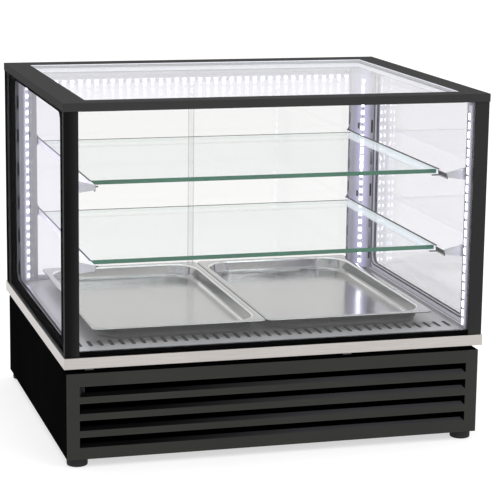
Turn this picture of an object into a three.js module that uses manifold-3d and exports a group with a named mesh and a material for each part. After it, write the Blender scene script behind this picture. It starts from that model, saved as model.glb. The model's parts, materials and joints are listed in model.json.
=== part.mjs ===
// Heated two-shelf display case: a black louvred base, a stainless band and deck with two
// gastronorm pans, and a glazed case with adjustable glass shelves and two sliding rear doors.
// Millimetres. +X is the customer's right, +Y is the operator's side, +Z is up. The origin is on
// the floor under the centre of the case.
import * as THREE from 'three';
import { mergeVertices } from 'three/addons/utils/BufferGeometryUtils.js';
import Module from 'manifold-3d';

const wasm = await Module();
wasm.setup();

// ---- driving dimensions ----
const CASE_W = 785;
const CASE_D = 650;
const CASE_H = 650;
const GAP = 0.3;

const BASE_W = 774;
const BASE_D = 639;
const BASE_Z0 = 15;
const BASE_Z1 = 172;
const SHEET = 1.5;
const BASE_FLANGE = 32;
const NECK_W = 730;
const NECK_D = 595;
const NECK_T = 4;
const NECK_Z0 = 158;
const BAND_Z0 = 182;
const BAND_Z1 = 202;
const BAND_SHEET = 1.2;
const FOOT_R = 19;
const FOOT_INSET = 22;

const LOUVRE_COUNT = 4;
const LOUVRE_W = 728;
const LOUVRE_H = 18.5;
const LOUVRE_PITCH = 31;
const LOUVRE_TOP_MARGIN = 24;
const LIP_DEPTH = 9;
const LIP_RISE = 6;
const LIP_MITRE = 5;

const DECK_X = 363;
const DECK_Y0 = -294;
const DECK_Y1 = 290;
const DECK_Z = 206.5;
const SLOT_COUNT = 37;
const SLOT_PITCH = 19.5;
const SLOT_W = 5;
const SLOT_L = 36;
const SLOT_Y = -246;

const PAN_L = 530;
const PAN_W = 325;
const PAN_H = 25;
const PAN_RIM = 12;
const PAN_T = 1;
const PAN_Y0 = -245;
const PAN_GAP = 1;

const TOP_Z0 = CASE_H - 15;
const TOP_W = 783;
const TOP_D = 648;
const TOP_WIN_X = 340;
const TOP_WIN_Y0 = -278;
const TOP_WIN_Y1 = 266;

const POST_X0 = 364.5;
const POST_X1 = 390.5;
const POST_FRONT_Y0 = -322.5;
const POST_FRONT_Y1 = -310.3;
const POST_REAR_Y0 = 294;
const POST_REAR_Y1 = 322.5;

const SIDE_Y0 = -310;
const SIDE_Y1 = 293.7;
const WIN_Y0 = -266;
const WIN_Y1 = 250;
const WIN_Z0 = 221;
const WIN_Z1 = 627;
const INNER_PANE_Y = 258;

const SHELF_X = 327;
const SHELF_Y0 = -232;
const SHELF_Y1 = 258;
const SHELF_T = 8;
const SHELF_TOPS = { lower: 356, upper: 500 };
const RAIL_Y0 = -283;
const RAIL_Y1 = 288;
const HOOK_SLOT_H = 26;
const HOOK_PITCH = 48;
const UPRIGHT_T = 1.5;
const UPRIGHT_Z0 = 207;
const UPRIGHT_Z1 = 630;
const FRONT_UPRIGHT_X = 366;
const REAR_UPRIGHT_X = 333;
const REAR_FACET_X = 341;
const REAR_FACET_Y = 282;

const DOOR_T = 6;
const DOOR_OUT = 361;
const DOOR_LAP = 4;
const DOOR_MID = -6.5;
const DOOR_Y = { left: 297, right: 309 };
const DOOR_Z0 = 205;
const DOOR_Z1 = 628;

const FAN_X = 0;
const FAN_Y = 90;
const FAN_SIZE = 120;
const FAN_Z0 = 111.7;
const FAN_Z1 = 149.7;
const PLENUM_X = 335;
const PLENUM_Y0 = -268;
const PLENUM_Y1 = 265;
const PLENUM_Z0 = 150;

// ---- materials ----
const LOOKS = {
  black: [0x1b1b1a, 0.5, 0.1],
  graphite: [0x3a3a39, 0.5, 0.2],
  steel: [0xc9c6c2, 0.35, 0.9],
  aluminium: [0xb4b4c0, 0.45, 0.6],
  glass: [0xe6f2ee, 0.05, 0.0],
  rubber: [0x161616, 0.8, 0.0],
  plastic: [0x202022, 0.5, 0.0],
  lamp: [0xffffff, 0.4, 0.0],
  red: [0xb02018, 0.35, 0.0],
  white: [0xe8e8ea, 0.5, 0.0],
};
function look(name) {
  const [color, roughness, metalness] = LOOKS[name];
  return new THREE.MeshStandardMaterial({ color, roughness, metalness });
}

const product = new THREE.Group();
product.name = 'heated_display_case';

function put(name, geometry, material) {
  const mesh = new THREE.Mesh(geometry, look(material));
  mesh.name = name;
  product.add(mesh);
  return mesh;
}

// ---- solids ----
function solid(geometry) {
  const bare = geometry.clone();
  bare.deleteAttribute('normal');
  bare.deleteAttribute('uv');
  const merged = mergeVertices(bare, 1e-4);
  return new wasm.Manifold(new wasm.Mesh({
    numProp: 3,
    vertProperties: new Float32Array(merged.attributes.position.array),
    triVerts: new Uint32Array(merged.index.array),
  }));
}

function geometryOf(manifold) {
  const mesh = manifold.getMesh();
  const geometry = new THREE.BufferGeometry();
  geometry.setAttribute('position', new THREE.BufferAttribute(mesh.vertProperties, 3));
  geometry.setIndex(new THREE.BufferAttribute(mesh.triVerts, 1));
  geometry.computeVertexNormals();
  return geometry;
}

// An axis-aligned block from its low corner to its high corner.
function block(lo, hi) {
  const size = hi.map((value, i) => value - lo[i]);
  const geometry = new THREE.BoxGeometry(...size);
  geometry.translate(...lo.map((value, i) => value + size[i] / 2));
  return geometry;
}

function cylinder(radius, z0, z1, x = 0, y = 0, segments = 24) {
  const geometry = new THREE.CylinderGeometry(radius, radius, z1 - z0, segments);
  geometry.rotateX(Math.PI / 2);
  geometry.translate(x, y, (z0 + z1) / 2);
  return geometry;
}

// A cylinder lying along Y.
function pinAlongY(radius, y0, y1, x, z, segments = 20) {
  const geometry = new THREE.CylinderGeometry(radius, radius, y1 - y0, segments);
  geometry.translate(x, (y0 + y1) / 2, z);
  return geometry;
}

function outline(points) {
  return new THREE.Shape(points.map(([x, y]) => new THREE.Vector2(x, y)));
}

// A section drawn in X and Y, raised from z0 to z1.
function raised(points, z0, z1) {
  const geometry = new THREE.ExtrudeGeometry(outline(points), {
    depth: z1 - z0,
    bevelEnabled: false,
  });
  geometry.translate(0, 0, z0);
  return geometry;
}

// A section drawn in Y and Z, run from x0 to x1.
function alongX(points, x0, x1) {
  const geometry = new THREE.ExtrudeGeometry(outline(points), {
    depth: x1 - x0,
    bevelEnabled: false,
  });
  geometry.applyMatrix4(new THREE.Matrix4().set(0, 0, 1, x0, 1, 0, 0, 0, 0, 1, 0, 0, 0, 0, 0, 1));
  return geometry;
}

// A section drawn in X and Z, run from y0 to y1.
function alongY(points, y0, y1) {
  const flipped = points.map(([x, z]) => [x, -z]);
  const geometry = new THREE.ExtrudeGeometry(outline(flipped), {
    depth: y1 - y0,
    bevelEnabled: false,
  });
  geometry.applyMatrix4(new THREE.Matrix4().set(1, 0, 0, 0, 0, 0, 1, y0, 0, -1, 0, 0, 0, 0, 0, 1));
  return geometry;
}

// A rounded rectangle's points, anticlockwise, with the same radius on each corner.
function roundedRect(x0, y0, x1, y1, radius, segments = 5) {
  const corners = [
    [x1 - radius, y1 - radius, 0],
    [x0 + radius, y1 - radius, 90],
    [x0 + radius, y0 + radius, 180],
    [x1 - radius, y0 + radius, 270],
  ];
  const points = [];
  for (const [cx, cy, start] of corners) {
    for (let i = 0; i <= segments; i += 1) {
      const angle = THREE.MathUtils.degToRad(start + (90 * i) / segments);
      points.push([cx + radius * Math.cos(angle), cy + radius * Math.sin(angle)]);
    }
  }
  return points;
}

// A folded sheet's closed section: the path of its outer face, thickened to the left of the path.
function folded(path, thickness) {
  const inner = path.map((point, i) => {
    const before = path[Math.max(i - 1, 0)];
    const after = path[Math.min(i + 1, path.length - 1)];
    const a = new THREE.Vector2(point[0] - before[0], point[1] - before[1]);
    const b = new THREE.Vector2(after[0] - point[0], after[1] - point[1]);
    if (i === 0) a.copy(b);
    if (i === path.length - 1) b.copy(a);
    a.normalize();
    b.normalize();
    const normalA = new THREE.Vector2(-a.y, a.x);
    const normalB = new THREE.Vector2(-b.y, b.x);
    const middle = normalA.clone().add(normalB).normalize();
    const reach = thickness / middle.dot(normalA);
    return [point[0] + middle.x * reach, point[1] + middle.y * reach];
  });
  return [...path, ...inner.reverse()];
}

function mirrored(points, side) {
  return points.map(([x, y]) => [x * side, y]);
}

function cutAll(body, tools) {
  return tools.reduce((rest, tool) => rest.subtract(solid(tool)), body);
}

function joinAll(geometries) {
  const [first, ...rest] = geometries.map(solid);
  return rest.reduce((sum, part) => sum.add(part), first);
}

const SIDES = [['left', -1], ['right', 1]];

function mirrorBlock(side, lo, hi) {
  const xs = [lo[0] * side, hi[0] * side].sort((a, b) => a - b);
  return block([xs[0], lo[1], lo[2]], [xs[1], hi[1], hi[2]]);
}

// ---- base ----
function baseShell() {
  const x = BASE_W / 2;
  const flangeX = x - BASE_FLANGE;
  const section = folded([
    [-flangeX, BASE_Z1],
    [-x, BASE_Z1],
    [-x, BASE_Z0],
    [x, BASE_Z0],
    [x, BASE_Z1],
    [flangeX, BASE_Z1],
  ], SHEET);
  const halfD = BASE_D / 2 - SHEET - GAP;
  const shell = solid(alongY(section, -halfD, halfD));
  const outer = block([-NECK_W / 2, -NECK_D / 2, NECK_Z0], [NECK_W / 2, NECK_D / 2, BAND_Z0 - GAP]);
  const innerX = NECK_W / 2 - NECK_T;
  const innerY = NECK_D / 2 - NECK_T;
  const inner = block([-innerX, -innerY, NECK_Z0 - 1], [innerX, innerY, BAND_Z0 + 1]);
  const neck = solid(outer).subtract(solid(inner));
  put('base_shell', geometryOf(shell.add(neck)), 'black');
}

function louvreTop(index) {
  return BASE_Z1 - LOUVRE_TOP_MARGIN - index * LOUVRE_PITCH;
}

// One inward lip: a sloping plate with mitred ends along an opening's lower edge.
function louvreLip(z) {
  const half = LOUVRE_W / 2;
  const run = Math.hypot(LIP_DEPTH, LIP_RISE);
  const plate = raised([
    [-half, 0],
    [half, 0],
    [half - LIP_MITRE, run],
    [-half + LIP_MITRE, run],
  ], 0, SHEET);
  plate.rotateX(Math.atan2(LIP_RISE, LIP_DEPTH));
  plate.translate(0, -BASE_D / 2 + 0.6, z - SHEET);
  return plate;
}

function louvrePanel() {
  const x = BASE_W / 2;
  const y = -BASE_D / 2;
  let panel = solid(block([-x, y, BASE_Z0], [x, y + SHEET, BASE_Z1]));
  const half = LOUVRE_W / 2;
  for (let i = 0; i < LOUVRE_COUNT; i += 1) {
    const top = louvreTop(i);
    const hole = block([-half, y - 1, top - LOUVRE_H], [half, y + SHEET + 1, top]);
    panel = panel.subtract(solid(hole));
  }
  for (let i = 0; i < LOUVRE_COUNT; i += 1) {
    panel = panel.add(solid(louvreLip(louvreTop(i) - LOUVRE_H)));
  }
  put('louvre_panel', geometryOf(panel), 'graphite');
}

const CONTROL_Y = 304.5;
const KNOB_X = -215;
const CONTROL_Z = 110;
const SWITCH_X = -310;
const LAMP_X = -262;
const GLAND_X = 330;
const GLAND_Z = 48;
const VENT_COUNT = 10;

function controlPanel() {
  const x = BASE_W / 2 - SHEET - GAP;
  const y = CONTROL_Y;
  const tools = [
    pinAlongY(4, y - 5, y + 1, KNOB_X, CONTROL_Z),
    block([SWITCH_X - 24.3, y - 5, CONTROL_Z - 12.8], [SWITCH_X + 24.3, y + 1, CONTROL_Z + 12.8]),
    pinAlongY(5.3, y - 5, y + 1, LAMP_X, CONTROL_Z),
    pinAlongY(8.3, y - 5, y + 1, GLAND_X, GLAND_Z),
  ];
  for (let i = 0; i < VENT_COUNT; i += 1) {
    const ventX = -60 + i * 28;
    tools.push(block([ventX, y - 5, 60], [ventX + 8, y + 1, 140]));
  }
  const z0 = BASE_Z0 + SHEET + GAP;
  const z1 = BASE_Z1 - SHEET - GAP;
  const plate = solid(block([-x, y - SHEET, z0], [x, y, z1]));
  put('control_panel', geometryOf(cutAll(plate, tools)), 'black');
}

function foot(name, x, y) {
  const profile = [
    [0, 0],
    [FOOT_R - 2.5, 0],
    [FOOT_R - 0.7, 0.8],
    [FOOT_R, 2.8],
    [FOOT_R, BASE_Z0 - GAP],
    [0, BASE_Z0 - GAP],
  ].map(([r, z]) => new THREE.Vector2(r, z));
  const geometry = new THREE.LatheGeometry(profile, 24);
  geometry.rotateX(Math.PI / 2);
  geometry.translate(x, y, 0);
  put(name, geometryOf(solid(geometry)), 'rubber');
}

function feet() {
  const x = BASE_W / 2 - FOOT_INSET;
  const y = BASE_D / 2 - FOOT_INSET;
  foot('foot_front_left', -x, -y);
  foot('foot_front_right', x, -y);
  foot('foot_rear_left', -x, y);
  foot('foot_rear_right', x, y);
}

// ---- controls and electrics in the base ----
function controls() {
  const y = CONTROL_Y;
  const cavity = block([SWITCH_X - 21, y - 12, CONTROL_Z - 10], [SWITCH_X + 21, y + 5, CONTROL_Z + 10]);
  const divider = block([SWITCH_X - 1, y - 13, CONTROL_Z - 11], [SWITCH_X + 1, y + 2, CONTROL_Z + 11]);
  const housing = joinAll([
    block([SWITCH_X - 24, y - 24, CONTROL_Z - 12.5], [SWITCH_X + 24, y + 1, CONTROL_Z + 12.5]),
    block([SWITCH_X - 26, y + GAP, CONTROL_Z - 14.5], [SWITCH_X + 26, y + 2, CONTROL_Z + 14.5]),
  ]).subtract(solid(cavity)).add(solid(divider));
  put('switch_housing', geometryOf(housing), 'plastic');

  for (const [name, x] of [['power_rocker', SWITCH_X - 11], ['light_rocker', SWITCH_X + 11]]) {
    const section = [
      [y - 2, CONTROL_Z - 9.4],
      [y + 1.6, CONTROL_Z - 9.4],
      [y + 1.4, CONTROL_Z],
      [y + 4.2, CONTROL_Z + 9.0],
      [y - 1, CONTROL_Z + 9.2],
      [y - 5, CONTROL_Z],
    ];
    const rocker = geometryOf(solid(alongX(section, x - 9.4, x + 9.4)));
    put(name, rocker, name === 'power_rocker' ? 'red' : 'plastic');
  }

  const lamp = joinAll([
    pinAlongY(5, y - 22, y + 1, LAMP_X, CONTROL_Z, 16),
    pinAlongY(6.5, y + GAP, y + 4, LAMP_X, CONTROL_Z, 16),
  ]);
  put('indicator_lamp', geometryOf(lamp), 'red');

  const gland = joinAll([
    pinAlongY(8, y - 14, y + 1, GLAND_X, GLAND_Z, 16),
    pinAlongY(12, y + GAP, y + 5, GLAND_X, GLAND_Z, 6),
    pinAlongY(9.5, y + 4, y + 13, GLAND_X, GLAND_Z, 16),
  ]).subtract(solid(pinAlongY(4, y - 20, y + 20, GLAND_X, GLAND_Z, 12)));
  put('cable_gland', geometryOf(gland), 'plastic');

  const body = joinAll([
    block([KNOB_X - 22, y - 34, CONTROL_Z - 18], [KNOB_X + 22, y - SHEET - GAP, CONTROL_Z + 18]),
    pinAlongY(3, y - 5, y + 12, KNOB_X, CONTROL_Z, 12),
  ]);
  put('thermostat_body', geometryOf(body), 'steel');

  const grip = joinAll([
    pinAlongY(22, y + 1, y + 5, KNOB_X, CONTROL_Z, 28),
    pinAlongY(17, y + 4, y + 19, KNOB_X, CONTROL_Z, 28),
    block([KNOB_X - 1.4, y + 18, CONTROL_Z + 3], [KNOB_X + 1.4, y + 20, CONTROL_Z + 16]),
  ]).subtract(solid(pinAlongY(3.4, y - 1, y + 13, KNOB_X, CONTROL_Z, 12)));
  put('thermostat_knob', geometryOf(grip), 'plastic');

  put('led_driver', block([-340, 60, BASE_Z0 + SHEET + GAP], [-280, 220, 48]), 'aluminium');
  put('terminal_block', block([270, 240, BASE_Z0 + SHEET + GAP], [310, 290, 42]), 'white');
}

// ---- fan, hot air box and heating element ----
function fan() {
  const half = FAN_SIZE / 2;
  const frame = solid(block([FAN_X - half, FAN_Y - half, FAN_Z0], [FAN_X + half, FAN_Y + half, FAN_Z1]));
  const duct = cylinder(56, FAN_Z0 - 1, FAN_Z1 + 1, FAN_X, FAN_Y, 32);
  let housing = frame.subtract(solid(duct));
  const armW = 5;
  const armZ1 = FAN_Z0 + 5;
  housing = housing.add(solid(block(
    [FAN_X - 57, FAN_Y - armW / 2, FAN_Z0],
    [FAN_X + 57, FAN_Y + armW / 2, armZ1],
  )));
  housing = housing.add(solid(block(
    [FAN_X - armW / 2, FAN_Y - 57, FAN_Z0],
    [FAN_X + armW / 2, FAN_Y + 57, armZ1],
  )));
  housing = housing.add(solid(cylinder(21, FAN_Z0, FAN_Z0 + 12, FAN_X, FAN_Y, 24)));
  put('fan_housing', geometryOf(housing), 'plastic');

  let rotor = solid(cylinder(20, FAN_Z0 + 12.6, FAN_Z1 - 3, FAN_X, FAN_Y, 24));
  const bladeCount = 7;
  for (let i = 0; i < bladeCount; i += 1) {
    const blade = block([15, -15, -1], [53, 15, 1]);
    blade.rotateX(THREE.MathUtils.degToRad(38));
    blade.rotateZ((2 * Math.PI * i) / bladeCount);
    blade.translate(FAN_X, FAN_Y, (FAN_Z0 + 12.6 + FAN_Z1 - 3) / 2);
    rotor = rotor.add(solid(blade));
  }
  put('fan_impeller', geometryOf(rotor), 'plastic');
}

function hotAirBox() {
  const wall = 1;
  const flange = 14;
  const flangeZ = BAND_Z1 + GAP;
  const outer = solid(block([-PLENUM_X, PLENUM_Y0, PLENUM_Z0], [PLENUM_X, PLENUM_Y1, flangeZ + 1]));
  const rim = solid(block(
    [-PLENUM_X - flange, PLENUM_Y0 - flange, flangeZ],
    [PLENUM_X + flange, PLENUM_Y1 + flange, flangeZ + 1],
  ));
  const inner = solid(block(
    [-PLENUM_X + wall, PLENUM_Y0 + wall, PLENUM_Z0 + wall],
    [PLENUM_X - wall, PLENUM_Y1 - wall, flangeZ + 3],
  ));
  const inlet = cylinder(56, PLENUM_Z0 - 2, PLENUM_Z0 + 3, FAN_X, FAN_Y, 32);
  let box = outer.add(rim).subtract(inner).subtract(solid(inlet));
  for (const x of [-230, 230]) {
    const saddle = block([x - 6, -170, PLENUM_Z0 + 0.5], [x + 6, 190, PLENUM_Z0 + 16]);
    const under = block([x - 8, -150, PLENUM_Z0 + wall], [x + 8, 170, PLENUM_Z0 + 14.5]);
    box = box.add(solid(saddle).subtract(solid(under)));
  }
  put('hot_air_box', geometryOf(box), 'steel');
}

// A tubular element bent in a flat serpentine above the fan inlet.
function heatingElement() {
  const z = PLENUM_Z0 + 16 + GAP + 4.2;
  const reach = 270;
  const rows = [-140, -40, 60, 160];
  const path = new THREE.CurvePath();
  rows.forEach((y, i) => {
    const direction = i % 2 === 0 ? 1 : -1;
    const start = new THREE.Vector3(-reach * direction, y, z);
    const end = new THREE.Vector3(reach * direction, y, z);
    path.add(new THREE.LineCurve3(start, end));
    if (i < rows.length - 1) {
      const nextY = rows[i + 1];
      const bulge = reach + 66;
      path.add(new THREE.CubicBezierCurve3(
        end,
        new THREE.Vector3(bulge * direction, y, z),
        new THREE.Vector3(bulge * direction, nextY, z),
        new THREE.Vector3(reach * direction, nextY, z),
      ));
    }
  });
  const sides = 8;
  const ring = [];
  for (let i = 0; i < sides; i += 1) {
    const angle = (2 * Math.PI * i) / sides;
    ring.push([4 * Math.cos(angle), 4 * Math.sin(angle)]);
  }
  const geometry = new THREE.ExtrudeGeometry(outline(ring), {
    steps: 72,
    extrudePath: path,
    bevelEnabled: false,
  });
  put('heating_element', geometryOf(solid(geometry)), 'steel');
}

// ---- stainless band and deck ----
function band() {
  const x = CASE_W / 2;
  const y = CASE_D / 2;
  const t = BAND_SHEET;
  const ring = cutAll(solid(block([-x, -y, BAND_Z0], [x, y, BAND_Z1])), [
    block([-x + t, -y + t, BAND_Z0 + t], [x - t, y - t, BAND_Z1 - t]),
    block([-340, -277.5, BAND_Z1 - 3], [340, 277.5, BAND_Z1 + 1]),
    block([-350, -282.5, BAND_Z0 - 1], [350, 282.5, BAND_Z0 + 3]),
  ]);
  put('band_frame', geometryOf(ring), 'steel');
}

function deck() {
  const t = 1.2;
  const shape = outline([
    [-DECK_X, DECK_Y0],
    [DECK_X, DECK_Y0],
    [DECK_X, DECK_Y1],
    [-DECK_X, DECK_Y1],
  ]);
  for (let i = 0; i < SLOT_COUNT; i += 1) {
    const x = (i - (SLOT_COUNT - 1) / 2) * SLOT_PITCH;
    const points = roundedRect(
      x - SLOT_W / 2,
      SLOT_Y - SLOT_L / 2,
      x + SLOT_W / 2,
      SLOT_Y + SLOT_L / 2,
      SLOT_W / 2 - 0.01,
      2,
    );
    shape.holes.push(new THREE.Path(points.map(([px, py]) => new THREE.Vector2(px, py))));
  }
  const plate = new THREE.ExtrudeGeometry(shape, { depth: t, bevelEnabled: false });
  plate.translate(0, 0, DECK_Z - t);
  const z0 = BAND_Z1 + GAP;
  const skirt = solid(block([-DECK_X, DECK_Y0, z0], [DECK_X, DECK_Y1, DECK_Z - t / 2]))
    .subtract(solid(block([-DECK_X + t, DECK_Y0 + t, z0 - 1], [DECK_X - t, DECK_Y1 - t, DECK_Z + 1])));
  put('deck_plate', geometryOf(solid(plate).add(skirt)), 'steel');
}

function pan(name, x0) {
  const x1 = x0 + PAN_W;
  const y0 = PAN_Y0;
  const y1 = y0 + PAN_L;
  const z0 = DECK_Z + GAP;
  const z1 = z0 + PAN_H;
  const rim = raised(roundedRect(x0, y0, x1, y1, 10), z1 - 1.2, z1);
  const r = PAN_RIM;
  const well = raised(roundedRect(x0 + r, y0 + r, x1 - r, y1 - r, 52), z0, z1 - 0.6);
  const k = r + PAN_T;
  const inside = raised(roundedRect(x0 + k, y0 + k, x1 - k, y1 - k, 51), z0 + PAN_T, z1 + 1);
  put(name, geometryOf(solid(rim).add(solid(well)).subtract(solid(inside))), 'steel');
}

// ---- glazed case ----
function topFrame() {
  const x = TOP_W / 2;
  const y = TOP_D / 2;
  const frame = cutAll(solid(block([-x, -y, TOP_Z0], [x, y, CASE_H])), [
    block([-TOP_WIN_X, TOP_WIN_Y0, TOP_Z0 - 1], [TOP_WIN_X, TOP_WIN_Y1, CASE_H + 1]),
    block([-TOP_WIN_X - 6, TOP_WIN_Y0 - 6, CASE_H - 6], [TOP_WIN_X + 6, TOP_WIN_Y1 + 6, CASE_H + 1]),
  ]);
  put('top_frame', geometryOf(frame), 'graphite');
  put('top_glass_outer', block(
    [-TOP_WIN_X - 5.5, TOP_WIN_Y0 - 5.5, CASE_H - 5.7],
    [TOP_WIN_X + 5.5, TOP_WIN_Y1 + 5.5, CASE_H - 1.7],
  ), 'glass');
  put('top_glass_inner', block([-352, -294, TOP_Z0 - 4.3], [352, 272, TOP_Z0 - GAP]), 'glass');
}

function posts() {
  const z0 = BAND_Z1 + GAP;
  const z1 = TOP_Z0 - GAP;
  for (const [label, side] of SIDES) {
    put(`post_front_${label}`, mirrorBlock(
      side,
      [POST_X0, POST_FRONT_Y0, z0],
      [POST_X1, POST_FRONT_Y1, z1],
    ), 'graphite');
    put(`post_rear_${label}`, mirrorBlock(
      side,
      [POST_X0, POST_REAR_Y0, z0],
      [POST_X1, POST_REAR_Y1, z1],
    ), 'black');
  }
}

function frontGlazing() {
  const x = POST_X0 - GAP;
  put('front_sill', block([-x, POST_FRONT_Y0, BAND_Z1 + GAP], [x, -311, 211]), 'black');
  put('front_glass', block([-x, -319, 211.3], [x, -313, TOP_Z0 - GAP]), 'glass');
}

function sideGlazing() {
  const z0 = BAND_Z1 + GAP;
  const z1 = TOP_Z0 - GAP;
  for (const [label, side] of SIDES) {
    put(`side_${label}_glass_outer`, mirrorBlock(side, [386.5, SIDE_Y0, z0], [390.5, SIDE_Y1, z1]), 'glass');
    const frame = outline([[SIDE_Y0, z0], [SIDE_Y1, z0], [SIDE_Y1, z1], [SIDE_Y0, z1]]);
    const points = roundedRect(WIN_Y0, WIN_Z0, WIN_Y1, WIN_Z1, 18, 5);
    frame.holes.push(new THREE.Path(points.map(([a, b]) => new THREE.Vector2(a, b))));
    const border = new THREE.ExtrudeGeometry(frame, { depth: 6, bevelEnabled: false });
    const x = side > 0 ? 380.2 : -386.2;
    border.applyMatrix4(new THREE.Matrix4().set(0, 0, 1, x, 1, 0, 0, 0, 0, 1, 0, 0, 0, 0, 0, 1));
    put(`side_${label}_border`, geometryOf(solid(border)), 'black');
    put(`side_${label}_glass_inner`, mirrorBlock(
      side,
      [375.9, -INNER_PANE_Y, 208],
      [379.9, INNER_PANE_Y, TOP_Z0 - 5],
    ), 'glass');
  }
}

// ---- uprights, light strips and shelves ----
function hookSlots(side, faceX, y) {
  const tools = [];
  const lowest = SHELF_TOPS.lower - 12.3 - 2 * HOOK_PITCH;
  for (let i = 0; i < 8; i += 1) {
    const z = lowest + i * HOOK_PITCH;
    tools.push(mirrorBlock(side, [faceX - 2, y - 2.25, z], [faceX + 4, y + 2.25, z + HOOK_SLOT_H]));
  }
  return tools;
}

function uprights() {
  const airSlotPitch = 67.5;
  for (const [label, side] of SIDES) {
    const front = folded([[FRONT_UPRIGHT_X, -306], [FRONT_UPRIGHT_X, -277], [379.7, -277]], -UPRIGHT_T);
    const frontBody = solid(raised(mirrored(front, side), UPRIGHT_Z0, UPRIGHT_Z1));
    const frontY = RAIL_Y0 + 1;
    put(
      `upright_front_${label}`,
      geometryOf(cutAll(frontBody, hookSlots(side, FRONT_UPRIGHT_X, frontY))),
      'aluminium',
    );

    const rear = folded([
      [379.7, 262],
      [369, 262],
      [REAR_FACET_X, REAR_FACET_Y],
      [REAR_UPRIGHT_X, REAR_FACET_Y],
      [REAR_UPRIGHT_X, 293.6],
    ], -UPRIGHT_T);
    const rearBody = solid(raised(mirrored(rear, side), UPRIGHT_Z0, UPRIGHT_Z1));
    const tools = hookSlots(side, REAR_UPRIGHT_X, RAIL_Y1 - 1);
    for (let i = 0; i < 6; i += 1) {
      const z = 226 + i * airSlotPitch;
      tools.push(mirrorBlock(side, [372.2, 258, z], [376.7, 266, z + 27]));
    }
    put(`upright_rear_${label}`, geometryOf(cutAll(rearBody, tools)), 'aluminium');
  }
}

function lightStrips() {
  const z0 = 214;
  const z1 = 626;
  for (const [label, side] of SIDES) {
    put(`light_front_${label}`, mirrorBlock(
      side,
      [FRONT_UPRIGHT_X - 2.8, -302, z0],
      [FRONT_UPRIGHT_X - GAP, -292, z1],
    ), 'lamp');
    const facet = new THREE.Vector2(REAR_FACET_X - 369, REAR_FACET_Y - 262);
    const angle = facet.angle();
    const strip = block([-5, -2.8, 0], [5, -GAP, z1 - z0]);
    strip.rotateZ(angle - Math.PI);
    strip.translate(357, 270.57, z0);
    if (side < 0) strip.scale(-1, 1, 1);
    put(`light_rear_${label}`, stripGeometry(strip, side), 'lamp');
  }
  put('light_header', block([-330, 292.2, 607.5], [330, 294.7, 617.5]), 'lamp');
}

// Mirroring turns a mesh inside out, so its triangles are wound the other way round.
function stripGeometry(geometry, side) {
  if (side < 0) {
    const index = geometry.index.array;
    for (let i = 0; i < index.length; i += 3) {
      [index[i], index[i + 1]] = [index[i + 1], index[i]];
    }
    geometry.computeVertexNormals();
  }
  return geometryOf(solid(geometry));
}

// A rail's end: a gusset that widens towards the upright, a neck through its slot and a lug.
function railEnd(side, top, y0, y1, outer) {
  const gusset = [
    [327.5, top - 8.5],
    [outer - 1, top - 13.5],
    [outer - 1, top + 9.5],
    [327.5, top + 0.5],
  ];
  const lug = [
    [outer - 2, top - 12],
    [outer + UPRIGHT_T + 0.6, top - 12],
    [outer + UPRIGHT_T + 0.6, top - 16.5],
    [outer + UPRIGHT_T + 2.6, top - 16.5],
    [outer + UPRIGHT_T + 2.6, top + 1.5],
    [outer - 2, top + 1.5],
  ];
  return [gusset, lug].map((points) => alongY(ordered(mirrored(points, side)), y0, y1));
}

// Points put anticlockwise, so that a mirrored section isn't inside out.
function ordered(points) {
  const area = THREE.ShapeUtils.area(points.map(([x, y]) => new THREE.Vector2(x, y)));
  return area < 0 ? [...points].reverse() : points;
}

function shelves() {
  for (const [level, top] of Object.entries(SHELF_TOPS)) {
    for (const [label, side] of SIDES) {
      const section = [
        [314, top - 11],
        [329.8, top - 11],
        [329.8, top + 0.5],
        [327.8, top + 0.5],
        [327.8, top - 8.5],
        [314, top - 8.5],
      ];
      const bar = alongY(ordered(mirrored(section, side)), RAIL_Y0, RAIL_Y1);
      const notchFront = mirrorBlock(side, [312, RAIL_Y0 - 1, top - 12], [327.6, RAIL_Y0 + 41, top + 1]);
      const notchRear = mirrorBlock(side, [312, RAIL_Y1 - 20, top - 12], [327.6, RAIL_Y1 + 1, top + 1]);
      const ends = [
        ...railEnd(side, top, RAIL_Y0, RAIL_Y0 + 2, FRONT_UPRIGHT_X),
        ...railEnd(side, top, RAIL_Y1 - 2, RAIL_Y1, REAR_UPRIGHT_X),
      ];
      let rail = solid(bar).subtract(solid(notchFront)).subtract(solid(notchRear));
      for (const end of ends) rail = rail.add(solid(end));
      put(`shelf_rail_${level}_${label}`, geometryOf(rail), 'aluminium');
    }
    put(`shelf_glass_${level}`, block(
      [-SHELF_X, SHELF_Y0, top - SHELF_T],
      [SHELF_X, SHELF_Y1, top],
    ), 'glass');
  }
}

// ---- rear doors ----
function doorTracks() {
  const x = POST_X0 - GAP;
  const grooves = [[296.5, 303.5], [308.5, 315.5]];
  const sill = solid(block([-x, 294, BAND_Z1 + GAP], [x, 322.5, 211]));
  put('door_sill', geometryOf(cutAll(sill, grooves.map(([y0, y1]) => block(
    [-x - 1, y0, 204.5],
    [x + 1, y1, 212],
  )))), 'aluminium');
  const header = solid(block([-x, 295, 607], [x, 322.5, TOP_Z0 - GAP]));
  put('door_header', geometryOf(cutAll(header, grooves.map(([y0, y1]) => block(
    [-x - 1, y0, 606],
    [x + 1, y1, 630],
  )))), 'white');
}

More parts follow.
